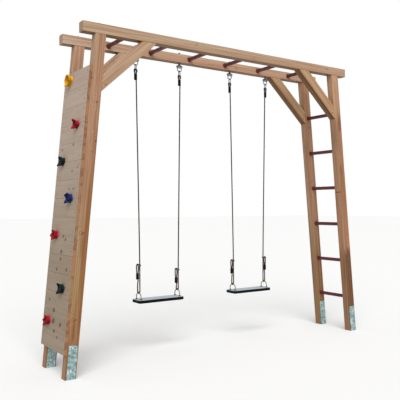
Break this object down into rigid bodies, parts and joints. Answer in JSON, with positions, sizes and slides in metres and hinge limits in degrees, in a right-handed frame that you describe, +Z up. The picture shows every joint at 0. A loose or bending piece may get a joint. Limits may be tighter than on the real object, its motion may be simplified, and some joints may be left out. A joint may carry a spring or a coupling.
{
  "type": "monkey bars",
  "caption": "Free-standing timber monkey bars with overhead rungs, a side ladder, a climbing wall with bolt-on holds, and rope swings with rocking seats.",
  "frame": {"origin": "on the ground, in the middle between the four posts", "axes": "+X along the beams from the climbing wall to the ladder, +Y from the front beam to the beam that carries the swings, +Z up"},
  "size_m": [2.7724, 0.4695, 2.357],
  "materials": {
    "timber": "planed pine, oiled, with visible grain and knots",
    "boards": "planed softwood boards, slightly greyed",
    "rung_paint": "dark red powder coat, satin",
    "collar_plastic": "red moulded plastic",
    "zinc_steel": "zinc-plated steel",
    "galvanised_steel": "hot-dip galvanised, mottled",
    "bush_plastic": "natural nylon",
    "hold_yellow": "moulded, fine grit",
    "hold_red": "moulded, fine grit",
    "hold_green": "moulded, fine grit",
    "hold_blue": "moulded, fine grit",
    "rope": "laid synthetic rope, brown",
    "sleeve_rubber": "black moulded rubber",
    "seat_rubber": "black rubber with a dusty grey-blue top"
  },
  "bodies": {
    "frame": {"beam_front": "timber", "beam_rear": "timber", "post_front_left": "timber", "post_front_right": "timber", "post_rear_left": "timber", "post_rear_right": "timber", "brace_front_left": "timber", "brace_front_right": "timber", "brace_rear_left": "timber", "brace_rear_right": "timber", "overhead_rung_1": "rung_paint", "overhead_rung_2": "rung_paint", "overhead_rung_3": "rung_paint", "overhead_rung_4": "rung_paint", "overhead_rung_5": "rung_paint", "overhead_rung_6": "rung_paint", "ladder_rung_1": "rung_paint", "ladder_rung_2": "rung_paint", "ladder_rung_3": "rung_paint", "ladder_rung_4": "rung_paint", "ladder_rung_5": "rung_paint", "ladder_rung_6": "rung_paint", "rung_collars": "collar_plastic", "climbing_boards": "boards", "board_screws": "zinc_steel", "hold_yellow_top": "hold_yellow", "hold_red_upper": "hold_red", "hold_green_upper": "hold_green", "hold_blue_middle": "hold_blue", "hold_red_middle": "hold_red", "hold_green_lower": "hold_green", "hold_red_lower": "hold_red", "hold_fixings": "zinc_steel", "ground_anchors": "galvanised_steel", "anchor_bolts": "galvanised_steel", "beam_bolts": "zinc_steel", "brace_screws": "zinc_steel", "swing_hangers": "zinc_steel", "hanger_nuts": "zinc_steel", "hanger_bushes": "bush_plastic"},
    "left_swing": {"left_swing_stirrups": "zinc_steel", "left_swing_axle_bolts": "zinc_steel", "left_swing_links": "zinc_steel", "left_swing_rope_left": "rope", "left_swing_rope_right": "rope", "left_swing_rope_sleeves": "sleeve_rubber", "left_swing_rope_rings": "zinc_steel"},
    "left_seat_body": {"left_seat": "seat_rubber", "left_seat_brackets": "zinc_steel", "left_seat_nuts": "zinc_steel"},
    "right_swing": {"right_swing_stirrups": "zinc_steel", "right_swing_axle_bolts": "zinc_steel", "right_swing_links": "zinc_steel", "right_swing_rope_left": "rope", "right_swing_rope_right": "rope", "right_swing_rope_sleeves": "sleeve_rubber", "right_swing_rope_rings": "zinc_steel"},
    "right_seat_body": {"right_seat": "seat_rubber", "right_seat_brackets": "zinc_steel", "right_seat_nuts": "zinc_steel"}
  },
  "joints": [
    {"name": "left_swing_hinge", "type": "hinge", "parent": "frame", "child": "left_swing", "pos_m": [-0.453, 0.1815, 2.243], "axis": [1, 0, 0], "range_deg": [-60, 60]},
    {"name": "left_seat_rock", "type": "hinge", "parent": "left_swing", "child": "left_seat_body", "pos_m": [-0.453, 0.1815, 0.4448], "axis": [1, 0, 0], "range_deg": [-25, 25]},
    {"name": "right_swing_hinge", "type": "hinge", "parent": "frame", "child": "right_swing", "pos_m": [0.453, 0.1815, 2.243], "axis": [1, 0, 0], "range_deg": [-60, 60]},
    {"name": "right_seat_rock", "type": "hinge", "parent": "right_swing", "child": "right_seat_body", "pos_m": [0.453, 0.1815, 0.4448], "axis": [1, 0, 0], "range_deg": [-25, 25]}
  ]
}
